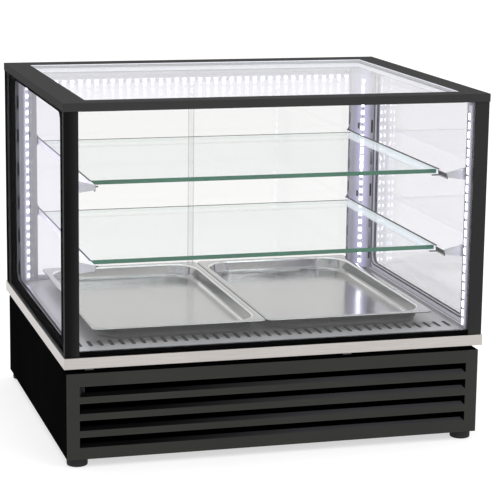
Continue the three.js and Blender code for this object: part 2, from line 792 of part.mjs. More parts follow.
function doors() {
  for (const [label, side] of SIDES) {
    const y = DOOR_Y[label];
    put(`door_glass_${label}`, mirrorBlock(
      side,
      [side * DOOR_MID - DOOR_LAP, y, DOOR_Z0],
      [DOOR_OUT - 4.5, y + DOOR_T, DOOR_Z1],
    ), 'glass');
    const profile = solid(mirrorBlock(side, [DOOR_OUT - 16, y - 1.4, 213], [DOOR_OUT, y + DOOR_T + 1.4, 605]));
    const groove = mirrorBlock(side, [DOOR_OUT - 18, y - 0.3, 212], [DOOR_OUT - 4.2, y + DOOR_T + 0.3, 606]);
    put(`door_pull_${label}`, geometryOf(profile.subtract(solid(groove))), 'aluminium');
  }
}

baseShell();
louvrePanel();
controlPanel();
feet();
controls();
fan();
hotAirBox();
heatingElement();
band();
deck();
pan('pan_left', -PAN_W - PAN_GAP / 2);
pan('pan_right', PAN_GAP / 2);
topFrame();
posts();
frontGlazing();
sideGlazing();
uprights();
lightStrips();
shelves();
doorTracks();
doors();

export default product;
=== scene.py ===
"""Looks of the heated display case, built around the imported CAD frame. Metres, +Z up."""

import json
import math

import bmesh
import bpy
from mathutils import Matrix, Vector


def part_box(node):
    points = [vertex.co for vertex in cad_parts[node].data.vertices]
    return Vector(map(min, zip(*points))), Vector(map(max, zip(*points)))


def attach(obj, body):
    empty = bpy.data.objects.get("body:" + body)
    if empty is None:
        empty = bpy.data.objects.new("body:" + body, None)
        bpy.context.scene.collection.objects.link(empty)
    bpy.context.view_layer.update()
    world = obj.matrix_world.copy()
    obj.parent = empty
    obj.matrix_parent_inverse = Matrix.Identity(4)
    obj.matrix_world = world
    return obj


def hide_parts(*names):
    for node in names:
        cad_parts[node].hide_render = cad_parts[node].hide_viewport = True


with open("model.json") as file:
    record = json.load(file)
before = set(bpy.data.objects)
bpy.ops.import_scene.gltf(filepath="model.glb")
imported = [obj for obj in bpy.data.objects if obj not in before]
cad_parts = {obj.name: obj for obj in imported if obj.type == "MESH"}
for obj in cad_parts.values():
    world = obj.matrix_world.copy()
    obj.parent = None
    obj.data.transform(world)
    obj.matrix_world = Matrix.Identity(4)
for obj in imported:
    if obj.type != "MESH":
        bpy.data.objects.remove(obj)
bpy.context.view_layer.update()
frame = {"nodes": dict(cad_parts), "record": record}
scene = bpy.context.scene
nodes = frame["nodes"]
MM = 0.001

# Places in mm, as in the CAD.
BACK_FACE_Y = 304.5
REAR_STRIP_X, REAR_STRIP_Y = 357, 270.57
REAR_STRIP_FACING = (-20, -28, 0)
HEADER_STRIP_START = (-325, 292.2, 612.5)
SLOT_COUNT, SLOT_PITCH, SLOT_Y = 37, 19.5, -246
SLOT_WIDTH, SLOT_LENGTH = 5, 36
SLOT_WALL_REACH = 20
DECK_TOP = 206.5
WINDOW = (-266, 221, 250, 627)
WINDOW_RADIUS = 18
WINDOW_FACE_X = 375.5
TOP_WINDOW_X, TOP_WINDOW_Y0, TOP_WINDOW_Y1 = 347, -285, 273
RAIL_LEDGE_X, RAIL_LEDGE_Y0 = 332, -240
LIP_FRONT_Y, LIP_TOP_Z = -319.2, 165
POST_EDGE_X = 335
SHELF_TOPS = {"lower": 356, "upper": 500}
KNOB_X, KNOB_Z = -215, 110

# Colours of the light that the diodes throw, used as painted glow on surfaces that are no lamps, and
# shares that several materials use.
PALE_LIGHT = (0.9, 0.88, 1.0, 1)
STRIP_LIGHT = (0.60, 0.55, 1.0, 1)
CLOUD_SCALE = 6
FACE_ON_MIRROR = 0.04


# ---------------------------------------------------------------- materials
def new_material(name):
    """An empty node material, its nodes and its links."""
    material = bpy.data.materials.new(name)
    material.use_nodes = True
    material.node_tree.nodes.clear()
    return material, material.node_tree.nodes, material.node_tree.links


def coordinates(tree_nodes, links, scale):
    """Object coordinates stretched by scale, for grain that follows the real size."""
    source = tree_nodes.new("ShaderNodeTexCoord")
    mapping = tree_nodes.new("ShaderNodeMapping")
    mapping.inputs["Scale"].default_value = scale
    links.new(source.outputs["Object"], mapping.inputs["Vector"])
    return mapping.outputs["Vector"]


def position(tree_nodes, links):
    """X, Y and Z of the object coordinates, in metres."""
    split = tree_nodes.new("ShaderNodeSeparateXYZ")
    links.new(coordinates(tree_nodes, links, (1, 1, 1)), split.inputs[0])
    return split.outputs


def noise(tree_nodes, links, scale, detail, stretch=(1, 1, 1)):
    texture = tree_nodes.new("ShaderNodeTexNoise")
    texture.inputs["Scale"].default_value = scale
    texture.inputs["Detail"].default_value = detail
    links.new(coordinates(tree_nodes, links, stretch), texture.inputs["Vector"])
    return texture.outputs["Fac"]


def grey(value):
    """A colour with alpha from one level or from three."""
    if isinstance(value, (int, float)):
        return (value, value, value, 1)
    return (*value[:3], 1)


def ramp(tree_nodes, links, source, low, high):
    """A colour ramp between two grey levels or colours, over the middle of a noise."""
    node = tree_nodes.new("ShaderNodeValToRGB")
    first, last = node.color_ramp.elements
    first.position, last.position = 0.3, 0.7
    first.color = grey(low)
    last.color = grey(high)
    links.new(source, node.inputs["Fac"])
    return node.outputs["Color"]


def math_node(tree_nodes, links, operation, *values):
    """A math node whose inputs are sockets or plain numbers."""
    node = tree_nodes.new("ShaderNodeMath")
    node.operation = operation
    for i, value in enumerate(values):
        if isinstance(value, (int, float)):
            node.inputs[i].default_value = value
        else:
            links.new(value, node.inputs[i])
    return node.outputs[0]


def smooth_step(tree_nodes, links, source, start, end, first, last):
    """Goes smoothly from the level first to the level last between start and end."""
    node = tree_nodes.new("ShaderNodeMapRange")
    node.interpolation_type = "SMOOTHSTEP"
    node.inputs["From Min"].default_value = start
    node.inputs["From Max"].default_value = end
    node.inputs["To Min"].default_value = first
    node.inputs["To Max"].default_value = last
    links.new(source, node.inputs["Value"])
    return node.outputs["Result"]


def mix_to_output(tree_nodes, links, share, first, second):
    """Two shaders mixed by a share, which is a socket or a number, as the surface."""
    out = tree_nodes.new("ShaderNodeOutputMaterial")
    mix = tree_nodes.new("ShaderNodeMixShader")
    if isinstance(share, (int, float)):
        mix.inputs["Fac"].default_value = share
    else:
        links.new(share, mix.inputs["Fac"])
    links.new(first, mix.inputs[1])
    links.new(second, mix.inputs[2])
    links.new(mix.outputs[0], out.inputs["Surface"])


def principled(
    name, low, high, roughness, metallic=0.0, specular=0.5, coat=0.0, glow=0.0,
    grain=60, stretch=(1, 1, 1), grain_share=0.5, bump=0.0, relief=0.0002,
):
    """A surface whose colour, roughness and relief vary with procedural noise."""
    material, tree_nodes, links = new_material(name)
    out = tree_nodes.new("ShaderNodeOutputMaterial")
    shader = tree_nodes.new("ShaderNodeBsdfPrincipled")
    links.new(shader.outputs["BSDF"], out.inputs["Surface"])
    shader.inputs["Metallic"].default_value = metallic
    shader.inputs["Specular IOR Level"].default_value = specular
    shader.inputs["Coat Weight"].default_value = coat
    shader.inputs["Coat Roughness"].default_value = 0.1
    shader.inputs["Emission Color"].default_value = PALE_LIGHT
    shader.inputs["Emission Strength"].default_value = glow
    fine = noise(tree_nodes, links, grain, 4, stretch)
    cloud = noise(tree_nodes, links, CLOUD_SCALE, 2)
    cloud_part = math_node(tree_nodes, links, "MULTIPLY", cloud, 1 - grain_share)
    level = math_node(tree_nodes, links, "MULTIPLY_ADD", fine, grain_share, cloud_part)
    links.new(ramp(tree_nodes, links, level, low, high), shader.inputs["Base Color"])
    links.new(ramp(tree_nodes, links, level, *roughness), shader.inputs["Roughness"])
    if bump:
        height = tree_nodes.new("ShaderNodeBump")
        height.inputs["Strength"].default_value = bump
        height.inputs["Distance"].default_value = relief
        links.new(fine, height.inputs["Height"])
        links.new(height.outputs["Normal"], shader.inputs["Normal"])
    return material


def pane_glass(name, tint, gain):
    """A thin pane: straight through, lightly tinted, with a mirror share that grows edge-on."""
    material, tree_nodes, links = new_material(name)
    clear = tree_nodes.new("ShaderNodeBsdfTransparent")
    clear.inputs["Color"].default_value = (*tint, 1)
    mirror = tree_nodes.new("ShaderNodeBsdfGlossy")
    mirror.inputs["Roughness"].default_value = 0.02
    mirror.inputs["Color"].default_value = (1, 1, 1, 1)
    facing = tree_nodes.new("ShaderNodeLayerWeight")
    facing.inputs["Blend"].default_value = 0.5
    falloff = math_node(tree_nodes, links, "POWER", facing.outputs["Facing"], 5.0)
    rise = (1 - FACE_ON_MIRROR) * gain
    share = math_node(tree_nodes, links, "MULTIPLY_ADD", falloff, rise, FACE_ON_MIRROR * gain)
    smear = ramp(tree_nodes, links, noise(tree_nodes, links, 3.0, 2), 0.85, 1.0)
    share = math_node(tree_nodes, links, "MULTIPLY", share, smear)
    mix_to_output(tree_nodes, links, share, clear.outputs[0], mirror.outputs[0])
    return material


def edge_glass(name, colour, clear_share, through=(0.55, 0.9, 0.75)):
    """The polished edge of float glass, where the green of the thickness shows."""
    material, tree_nodes, links = new_material(name)
    shader = tree_nodes.new("ShaderNodeBsdfPrincipled")
    shader.inputs["Roughness"].default_value = 0.12
    band = noise(tree_nodes, links, 14, 2, (1, 1, 6))
    dark = tuple(0.7 * level for level in colour)
    links.new(ramp(tree_nodes, links, band, dark, colour), shader.inputs["Base Color"])
    clear = tree_nodes.new("ShaderNodeBsdfTransparent")
    clear.inputs["Color"].default_value = (*through, 1)
    mix_to_output(tree_nodes, links, clear_share, shader.outputs[0], clear.outputs[0])
    return material


def lit_metal(name, low, high, reach, glow):
    """Satin aluminium of a corner post, washed by the light strip that runs up it."""
    material = principled(
        name, low, high, (0.42, 0.55), 0.35,
        grain=9, stretch=(60, 60, 2), grain_share=0.6, bump=0.05, relief=0.0001,
    )
    tree_nodes, links = material.node_tree.nodes, material.node_tree.links
    across = math_node(tree_nodes, links, "ABSOLUTE", position(tree_nodes, links)["X"])
    offset = math_node(tree_nodes, links, "SUBTRACT", across, REAR_STRIP_X * MM)
    away = math_node(tree_nodes, links, "ABSOLUTE", offset)
    shader = tree_nodes["Principled BSDF"]
    shader.inputs["Emission Color"].default_value = STRIP_LIGHT
    strength = smooth_step(tree_nodes, links, away, 0.0, reach, glow, 0.0)
    links.new(strength, shader.inputs["Emission Strength"])
    return material


def position_share(material, steps):
    """The product of smooth steps over object position: (axis, start, end, first, last)."""
    tree_nodes, links = material.node_tree.nodes, material.node_tree.links
    place = position(tree_nodes, links)
    total = 1.0
    for axis, *levels in steps:
        source = place[axis[-1]]
        if axis.startswith("abs"):
            source = math_node(tree_nodes, links, "ABSOLUTE", source)
        share = smooth_step(tree_nodes, links, source, *levels)
        total = math_node(tree_nodes, links, "MULTIPLY", total, share)
    return total


def blend_base(material, colour, *steps):
    """Blends the base colour towards another one, by a share that depends on position."""
    tree_nodes, links = material.node_tree.nodes, material.node_tree.links
    shader = tree_nodes["Principled BSDF"]
    old = shader.inputs["Base Color"].links[0].from_socket
    mix = tree_nodes.new("ShaderNodeMixRGB")
    links.new(position_share(material, steps), mix.inputs["Fac"])
    links.new(old, mix.inputs["Color1"])
    mix.inputs["Color2"].default_value = grey(colour)
    links.new(mix.outputs["Color"], shader.inputs["Base Color"])


def light_material(name, colour, strength):
    """A plain glowing surface."""
    material, tree_nodes, links = new_material(name)
    out = tree_nodes.new("ShaderNodeOutputMaterial")
    shader = tree_nodes.new("ShaderNodeEmission")
    shader.inputs["Color"].default_value = (*colour, 1)
    shader.inputs["Strength"].default_value = strength
    links.new(shader.outputs[0], out.inputs["Surface"])
    return material


POWDER = {"grain": 900, "bump": 0.12}
BLACK = principled("black_powder_coat", 0.0020, 0.0042, (0.45, 0.6), specular=0.0, **POWDER)
BORDER = principled("black_border", 0.0015, 0.003, (0.3, 0.4), specular=0.0, grain=400, bump=0.02)
# The front posts wear one coat: the left one is a darker copy, painted shade.
POST_LEFT_SHADED = principled(
    "post_coat_painted_shade", 0.004, 0.008, (0.4, 0.5), specular=0.02, grain=900, bump=0.1,
)
POST_RIGHT = principled(
    "post_coat", 0.020, 0.026, (0.4, 0.5), specular=0.06, grain=900, bump=0.1,
)
GRAPHITE = principled(
    "graphite_powder_coat", (0.026, 0.026, 0.024), (0.034, 0.034, 0.031), (0.5, 0.62),
    specular=0.08, grain=900, bump=0.15,
)
TOP_COAT = principled("top_powder_coat", 0.034, 0.042, (0.5, 0.62), specular=0.004, **POWDER)
STEEL = principled(
    "brushed_stainless", (0.43, 0.405, 0.385), (0.54, 0.51, 0.49), (0.3, 0.42), 1.0,
    grain=9, stretch=(2, 2, 90), grain_share=0.7, bump=0.08, relief=0.0001,
)
DECK = principled(
    "brushed_deck", (0.48, 0.48, 0.485), (0.57, 0.57, 0.575), (0.34, 0.46), 0.35,
    grain=9, stretch=(2, 70, 2), grain_share=0.7, bump=0.05, relief=0.0001,
)
# The pan is one stainless sheet in four copies: this plain one on rims and floor, a darker one whose
# dark is painted reflection on the inner walls, a near-white one painted as highlight lines on the
# rolled edge and floor fillet, and a near-black one painted as shade on the outside and underside.
PAN = principled(
    "pan_stainless", (0.47, 0.47, 0.465), (0.53, 0.53, 0.525), (0.15, 0.2), 1.0,
    grain=9, stretch=(40, 2, 2), grain_share=0.5,
)
PAN_WALL = principled(
    "pan_wall_painted_reflection", (0.40, 0.40, 0.395), (0.47, 0.47, 0.465), (0.10, 0.15), 1.0,
    grain=2, stretch=(4, 4, 2), grain_share=0.5,
)
PAN_HIGHLIGHT = principled("pan_painted_highlight", 0.76, 0.86, (0.07, 0.10), 1.0, grain=30)
PAN_SHADED_BACK = principled("pan_underside", 0.008, 0.018, (0.36, 0.46), 0.9, grain=40)
ZINC = principled(
    "galvanised_sheet", (0.22, 0.23, 0.24), (0.34, 0.35, 0.37), (0.4, 0.6), 0.9, grain=45,
)
INSIDE = principled("warm_air_box", 0.04, 0.07, (0.5, 0.65), 0.9, grain=45)
SHEATH = principled(
    "element_sheath", (0.12, 0.1, 0.09), (0.26, 0.23, 0.2), (0.35, 0.5), 0.9, grain=80,
)
ALUMINIUM = principled(
    "satin_aluminium", (0.44, 0.43, 0.50), (0.54, 0.53, 0.62), (0.42, 0.55), 0.35,
    grain=9, stretch=(60, 60, 2), grain_share=0.6, bump=0.05, relief=0.0001,
)
RAIL = principled(
    "rail_aluminium", (0.43, 0.43, 0.46), (0.52, 0.52, 0.56), (0.35, 0.5), 0.2,
    grain=9, stretch=(60, 2, 60), grain_share=0.6, bump=0.05, relief=0.0001,
)
# A lit copy of the rail aluminium: near-white, with a weak glow, painted light from the diodes.
LEDGE = principled(
    "rail_ledge_painted_light", (0.88, 0.88, 0.91), (0.93, 0.93, 0.96), (0.3, 0.4), 0.1,
    grain=30, glow=0.32,
)
# Pale spacer with a weak glow, painted light from the diodes.
SPACER = principled(
    "pale_spacer_painted_glow", (0.62, 0.62, 0.66), (0.67, 0.67, 0.71), (0.4, 0.5), 0.1,
    grain=30, grain_share=0.5, bump=0.02, relief=0.0001, glow=0.27,
)
RUBBER = principled("foot_rubber", 0.006, 0.014, (0.6, 0.8), grain=500, bump=0.3, specular=0.3)
TRIM = principled("grey_rubber_trim", 0.035, 0.055, (0.5, 0.65), grain=400, bump=0.1, specular=0.2)
PLASTIC = principled("black_plastic", 0.008, 0.013, (0.4, 0.5), grain=900, bump=0.2, specular=0.4)
WHITE = principled(
    "white_plastic", (0.72, 0.72, 0.75), (0.8, 0.8, 0.83), (0.35, 0.45), grain=500, bump=0.05,
)
RED = principled(
    "red_plastic", (0.35, 0.02, 0.015), (0.45, 0.03, 0.02), (0.2, 0.3), grain=300, coat=0.3,
)
# The strip board has a weak glow, painted light from its diodes.
BOARD = principled(
    "strip_board_painted_glow", (0.50, 0.48, 0.62), (0.60, 0.58, 0.74), (0.35, 0.45),
    grain=300, bump=0.05, glow=0.3,
)
PANE = pane_glass("clear_pane", (0.952, 0.951, 0.950), gain=0.8)
SIDE_PANE = pane_glass("side_pane", (0.945, 0.943, 0.958), gain=0.3)
OUTER_PANE = pane_glass("outer_pane", (0.974, 0.970, 0.985), gain=0.01)
MIRROR_PANE = pane_glass("side_pane_glossy", (0.957, 0.955, 0.966), gain=0.72)
TOP_PANE = pane_glass("top_pane", (0.972, 0.970, 0.980), gain=0.6)
SHELF = pane_glass("shelf_pane", (0.966, 0.984, 0.978), gain=0.5)
GREEN_EDGE = edge_glass("green_edge", (0.008, 0.155, 0.085), 0.0)
PANE_EDGE = edge_glass("pane_edge", (0.20, 0.22, 0.22), 0.6, (0.8, 0.82, 0.82))
SHELF_BACK = edge_glass("shelf_back_edge", (0.4, 0.46, 0.43), 0.9, (0.93, 0.97, 0.95))
DIODE = light_material("diode_light", (0.88, 0.88, 1.0), 8.0)
LIP = principled(
    "louvre_lip_painted_shade", (0.036, 0.036, 0.038), (0.046, 0.046, 0.05), (0.45, 0.6),
    specular=0.02, **POWDER,
)
# Painted shade and light, by place in metres: the louvre lips and the left post are painted darker to
# the left, the deck is painted dark in front of the pans, under their rims, and the pans' front walls
# are painted lighter downwards, a painted reflection of the deck.
blend_base(LIP, 0.0015, ("X", -0.28, 0.18, 0.96, 0.0))
blend_base(
    DECK, 0.05,
    ("absX", 0.316, 0.336, 0.6, 0.0), ("Y", -0.264, -0.243, 0.0, 1.0), ("Y", -0.236, -0.210, 1.0, 0.0),
)
blend_base(PAN_SHADED_BACK, 0.26, ("Z", 0.209, 0.222, 1.0, 0.0))
blend_base(POST_LEFT_SHADED, 0.026, ("X", -0.386, -0.352, 0.0, 1.0))
LIT_POST = lit_metal("lit_corner_post", (0.44, 0.43, 0.50), (0.54, 0.53, 0.62), 0.018, 0.5)
DIM_POST = lit_metal("dim_corner_post", (0.24, 0.24, 0.26), (0.34, 0.34, 0.36), 0.010, 0.08)

SLOT_MATERIALS = {
    "black_coat": BLACK,
    "graphite_coat": GRAPHITE,
    "stainless": STEEL,
    "galvanised": ZINC,
    "element_sheath": SHEATH,
    "aluminium": ALUMINIUM,
    "clear_glass": PANE,
    "rubber": RUBBER,
    "light_strip": BOARD,
    "lamp_red": RED,
    "rocker_red": RED,
    "white_plastic": WHITE,
    "black_plastic": PLASTIC,
}
NODE_MATERIALS = {
    "deck_plate": DECK,
    "hot_air_box": INSIDE,
    "top_frame": TOP_COAT,
    "front_sill": BORDER,
    "post_front_left": POST_LEFT_SHADED,
    "post_front_right": POST_RIGHT,
}
for node_name in nodes:
    if node_name.startswith("shelf_rail"):
        NODE_MATERIALS[node_name] = RAIL
    if node_name.startswith("upright_rear"):
        NODE_MATERIALS[node_name] = DIM_POST if "left" in node_name else LIT_POST
    if node_name.endswith("_border"):
        NODE_MATERIALS[node_name] = BORDER


def faces_by_normal(obj, material, test):
    """Gives a second material to the faces whose normal (and middle, in mm) pass the test."""
    obj.data.materials.append(material)
    index = len(obj.data.materials) - 1
    for polygon in obj.data.polygons:
        if test(polygon.normal, polygon.center / MM):
            polygon.material_index = index


def inner_face_of_top(normal, centre):
    """The window's upright faces in the top frame, lined with a pale seal that carries a painted glow.
    """
    inside = abs(centre.x) < TOP_WINDOW_X and TOP_WINDOW_Y0 < centre.y < TOP_WINDOW_Y1
    return inside and abs(normal.z) < 0.5


def dress_glass(name, obj):
    """The tint of a pane and the look of its edges."""
    if name.startswith("shelf_"):
        obj.data.materials[0] = SHELF
        faces_by_normal(obj, GREEN_EDGE, lambda normal, middle: normal.y < -0.5)
        faces_by_normal(obj, SHELF_BACK, lambda normal, middle: (
            normal.y > 0.5 or abs(normal.x) > 0.5
        ))
    elif name.startswith("side_"):
        outer = OUTER_PANE if name.endswith("outer") else SIDE_PANE
        obj.data.materials[0] = MIRROR_PANE if "right" in name else outer
        faces_by_normal(obj, PANE_EDGE, lambda normal, middle: abs(normal.x) < 0.5)
    elif name.startswith("top_"):
        obj.data.materials[0] = TOP_PANE
        faces_by_normal(obj, PANE_EDGE, lambda normal, middle: abs(normal.z) < 0.5)
    else:
        faces_by_normal(obj, PANE_EDGE, lambda normal, middle: abs(normal.y) < 0.5)


def dress_part(name, obj):
    """Second materials on some faces of the metal parts."""
    if name.startswith("shelf_rail"):
        # Inner faces of the rails get the lit ledge copy, painted light.
        faces_by_normal(obj, LEDGE, lambda normal, middle: (
            abs(middle.x) < RAIL_LEDGE_X and abs(normal.y) < 0.5 and middle.y > RAIL_LEDGE_Y0
        ))
        faces_by_normal(obj, TRIM, lambda normal, middle: (
            abs(middle.x) < RAIL_LEDGE_X and normal.y < -0.5
        ))
    elif name == "deck_plate":
        # The slot walls get the black border coat, painted shade inside the slots.
        faces_by_normal(obj, BORDER, lambda normal, middle: (
            abs(normal.z) < 0.5 and abs(middle.y - SLOT_Y) < SLOT_WALL_REACH
        ))
    elif name == "top_frame":
        faces_by_normal(obj, SPACER, inner_face_of_top)
    elif name == "louvre_panel":
        # The louvre lips get their own coat, painted darker to the left as shade.
        faces_by_normal(obj, LIP, lambda normal, middle: (
            normal.z > 0.3 and middle.y > LIP_FRONT_Y and middle.z < LIP_TOP_Z
        ))
    elif name.startswith("upright_rear"):
        faces_by_normal(obj, TRIM, lambda normal, middle: (
            abs(normal.x) > 0.9 and abs(middle.x) < POST_EDGE_X
        ))
    elif name.endswith("_border"):
        # Inner faces of the border get the pale spacer, with its painted glow.
        inward = -1 if "right" in name else 1
        faces_by_normal(obj, SPACER, lambda normal, middle: inward * normal.x > 0.5)


def dress_frame():
    """Materials of all the CAD nodes."""
    slots = {part["node"]: part["material_slot"] for part in frame["record"]["subparts"]}
    for name, obj in nodes.items():
        obj.data.materials.clear()
        obj.data.materials.append(NODE_MATERIALS.get(name, SLOT_MATERIALS[slots[name]]))
        if "glass" in name:
            dress_glass(name, obj)
        else:
            dress_part(name, obj)


ROUNDING = {
    "band_frame": 0.8,
    "deck_plate": 0.15,
    "top_frame": 0.8,
    "louvre_panel": 0.35,
    "control_panel": 0.3,
    "base_shell": 0.5,
    "thermostat_knob": 0.8,
    "power_rocker": 0.8,
    "light_rocker": 0.8,
    "switch_housing": 0.5,
    "door_sill": 0.5,
    "door_header": 0.6,
    "led_driver": 1.5,
    "terminal_block": 1.0,
}


def round_edges():
    """Small bevels on every CAD node but the framed panes."""
    for name, obj in nodes.items():
        if "glass" in name and not name.startswith("shelf_glass"):
            continue
        width = ROUNDING.get(name, 0.4)
        weld = obj.modifiers.new("weld", "WELD")
        weld.merge_threshold = 0.01 * MM
        bevel = obj.modifiers.new("edges", "BEVEL")
        bevel.width = width * MM
        bevel.segments = 2
        bevel.limit_method = "ANGLE"
        bevel.angle_limit = math.radians(50)


# ---------------------------------------------------------------- mesh helpers
WELD_DISTANCE = 0.001 * MM


def add_object(name, mesh, materials, body="cabinet"):
    """A drawn piece that rides on a body of the frame."""
    obj = bpy.data.objects.new(name, mesh)
    for material in materials:
        obj.data.materials.append(material)
    scene.collection.objects.link(obj)
    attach(obj, body)
    return obj


def rounded_ring(x0, y0, x1, y1, radius, z, steps=8):
    """Points round a rounded rectangle, anticlockwise seen from above, in metres from mm."""
    points = []
    for cx, cy, start in (
        (x1 - radius, y1 - radius, 0),
        (x0 + radius, y1 - radius, 90),
        (x0 + radius, y0 + radius, 180),
        (x1 - radius, y0 + radius, 270),
    ):
        for i in range(steps + 1):
            angle = math.radians(start + 90 * i / steps)
            x = cx + radius * math.cos(angle)
            y = cy + radius * math.sin(angle)
            points.append(Vector((x, y, z)) * MM)
    return points


def bridge(mesh, rings, closed_ends=True):
    """Quads between successive rings of the same length, with flat ends."""
    loops = [[mesh.verts.new(p) for p in ring] for ring in rings]
    count = len(loops[0])
    for lower, upper in zip(loops, loops[1:]):
        for i in range(count):
            j = (i + 1) % count
            mesh.faces.new((lower[i], lower[j], upper[j], upper[i]))
    if closed_ends:
        mesh.faces.new(loops[-1])
        mesh.faces.new(list(reversed(loops[0])))
    return loops


def finish_mesh(mesh, name, smooth=True):
    """Turns the edited mesh into mesh data."""
    bmesh.ops.recalc_face_normals(mesh, faces=mesh.faces)
    data = bpy.data.meshes.new(name)
    for face in mesh.faces:
        face.smooth = smooth
    mesh.to_mesh(data)
    mesh.free()
    return data


def bar(mesh, centre, half, turn=None, material=0):
    """A small block in mm, turned by a matrix, added to a mesh."""
    matrix = Matrix.Translation(Vector(centre) * MM)
    if turn is not None:
        matrix = matrix @ turn
    matrix = matrix @ Matrix.Diagonal((*(2 * h * MM for h in half), 1))
    made = bmesh.ops.create_cube(mesh, size=1, matrix=matrix)
    for face in {f for v in made["verts"] for f in v.link_faces}:
        face.material_index = material


# ---------------------------------------------------------------- pans
# Rings of the pan's sheet: inset from the rim, height above its top, corner radius (mm).
PAN_RIM_Z = 231.8
PAN_TOP = [
    (0.0, -2.6, 10), (0.0, -1.0, 10), (0.3, -0.35, 10), (1.0, 0.0, 10), (9.6, 0.0, 46),
    (11.2, -0.4, 50), (12.4, -1.5, 53), (13.0, -3.2, 54), (14.4, -18.0, 54), (15.4, -20.8, 54),
    (17.4, -22.9, 53), (20.5, -24.0, 51), (24.5, -24.2, 48), (70.0, -23.9, 12),
]
PAN_UNDER = [
    (70.0, -24.7, 12), (24.5, -24.9, 48), (20.2, -24.8, 51), (16.8, -23.6, 53), (14.7, -21.2, 54),
    (13.6, -18.0, 54), (12.2, -3.4, 54), (11.7, -2.1, 53), (10.8, -1.2, 50), (9.4, -0.8, 46),
    (1.4, -0.8, 9), (0.8, -1.2, 9.5), (0.8, -2.6, 9.5),
]
PAN_SIDE_GAP = 0.6
PAN_MATERIALS = [PAN, PAN_SHADED_BACK, PAN_WALL, PAN_HIGHLIGHT]
# Rows painted as highlight lines, rows of wall with painted dark reflection, and again highlight rows
# down the inside of the well.
PAN_ROWS = {5: 3, 6: 3, 7: 2, 8: 2, 9: 2, 10: 3, 11: 3}


def row_faces(loops, row, count):
    """The faces between two successive rings."""
    return list({
        face
        for i in range(count)
        for face in loops[row][i].link_faces
        if loops[row + 1][i] in face.verts
    })


def build_pan(node_name):
    """A gastronorm pan of thin sheet, with a rolled rim and a filleted well."""
    low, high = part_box(node_name)
    x0, y0 = low.x / MM + PAN_SIDE_GAP, low.y / MM
    x1, y1 = high.x / MM - PAN_SIDE_GAP, high.y / MM
    rings = []
    for inset, height, radius in PAN_TOP + PAN_UNDER:
        outline = (x0 + inset, y0 + inset, x1 - inset, y1 - inset)
        rings.append(rounded_ring(*outline, radius, PAN_RIM_Z + height))
    mesh = bmesh.new()
    loops = bridge(mesh, rings + [rings[0]], closed_ends=False)
    count = len(rings[0])
    floor_row = len(PAN_TOP) - 1
    bmesh.ops.delete(mesh, geom=row_faces(loops, floor_row, count), context="FACES_ONLY")
    mesh.faces.new(loops[floor_row])
    mesh.faces.new(loops[floor_row + 1])
    # The outside and the underside get the near-black copy, painted shade.
    for ring in loops[floor_row + 2:] + [loops[0]]:
        for vert in ring:
            for face in vert.link_faces:
                face.material_index = 1
    for row, index in PAN_ROWS.items():
        for face in row_faces(loops, row, count):
            face.material_index = index
    bmesh.ops.remove_doubles(mesh, verts=mesh.verts, dist=WELD_DISTANCE)
    data = finish_mesh(mesh, node_name + "_shell")
    obj = add_object(node_name + "_shell", data, PAN_MATERIALS, node_name)
    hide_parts(node_name)


# ---------------------------------------------------------------- light strips
DIODE_PITCH = 16.67
DIODE_LOW = 222
UPRIGHT_DIODES, HEADER_DIODES = 24, 40
FRONT_STRIP_X, FRONT_STRIP_Y = 363.2, -297
STRIP_THICKNESS = 2.8


def diode_row(name, start, step, count, out, along, lens=(3.2, 3.5)):
    """A row of diodes: a pale body with a glowing lens, on a strip facing out."""
    out = Vector(out).normalized()
    along = Vector(along).normalized()
    side = out.cross(along)
    turn = Matrix((side, along, out)).transposed().to_4x4()
    mesh = bmesh.new()
    for i in range(count):
        centre = Vector(start) + Vector(step) * i
        bar(mesh, centre + out * 0.35, (lens[0] + 0.8, lens[1] + 0.8, 0.35), turn, 0)
        bar(mesh, centre + out * 0.85, (lens[0], lens[1], 0.2), turn, 1)
        chip = centre + Vector(step) * 0.5
        bar(mesh, chip + out * 0.2, (1.6, 0.7, 0.2), turn, 2)
    data = finish_mesh(mesh, name, smooth=False)
    obj = add_object(name, data, [WHITE, DIODE, PLASTIC])


def build_lights():
    """Diodes on the front corner strips, the rear uprights and the rear header."""
    up = (0, 0, 1)
    lift = (0, 0, DIODE_PITCH)
    out = Vector(REAR_STRIP_FACING).normalized()
    rear = Vector((REAR_STRIP_X, REAR_STRIP_Y, DIODE_LOW)) + out * STRIP_THICKNESS
    for label, side in (("left", -1), ("right", 1)):
        front = (side * FRONT_STRIP_X, FRONT_STRIP_Y, DIODE_LOW)
        diode_row(
            f"diodes_front_{label}", front, lift, UPRIGHT_DIODES, (-side, 0, 0), up, (3.4, 5.6),
        )
        start = (side * rear.x, rear.y, DIODE_LOW)
        facing = (side * out.x, out.y, 0)
        diode_row(f"diodes_rear_{label}", start, lift, UPRIGHT_DIODES, facing, up)
    row = (DIODE_PITCH, 0, 0)
    diode_row("diodes_header", HEADER_STRIP_START, row, HEADER_DIODES, (0, -1, 0), (1, 0, 0))


# ---------------------------------------------------------------- small fittings
def screw(mesh, centre, axis, radius=3.2, height=1.6):
    """A domed screw head, made of shrinking rings."""
    axis = Vector(axis).normalized()
    turn = axis.to_track_quat("Z", "Y").to_matrix().to_4x4()
    base = Matrix.Translation(Vector(centre) * MM) @ turn
    steps = 16
    rings = []
    for wide, tall in ((1, 0), (1, 0.35), (0.8, 0.8), (0.35, 1)):
        ring = []
        for i in range(steps):
            angle = 2 * math.pi * i / steps
            round_part = Vector((math.cos(angle), math.sin(angle), 0)) * radius * wide
            ring.append(base @ ((round_part + Vector((0, 0, height * tall))) * MM))
        rings.append(ring)
    bridge(mesh, rings)


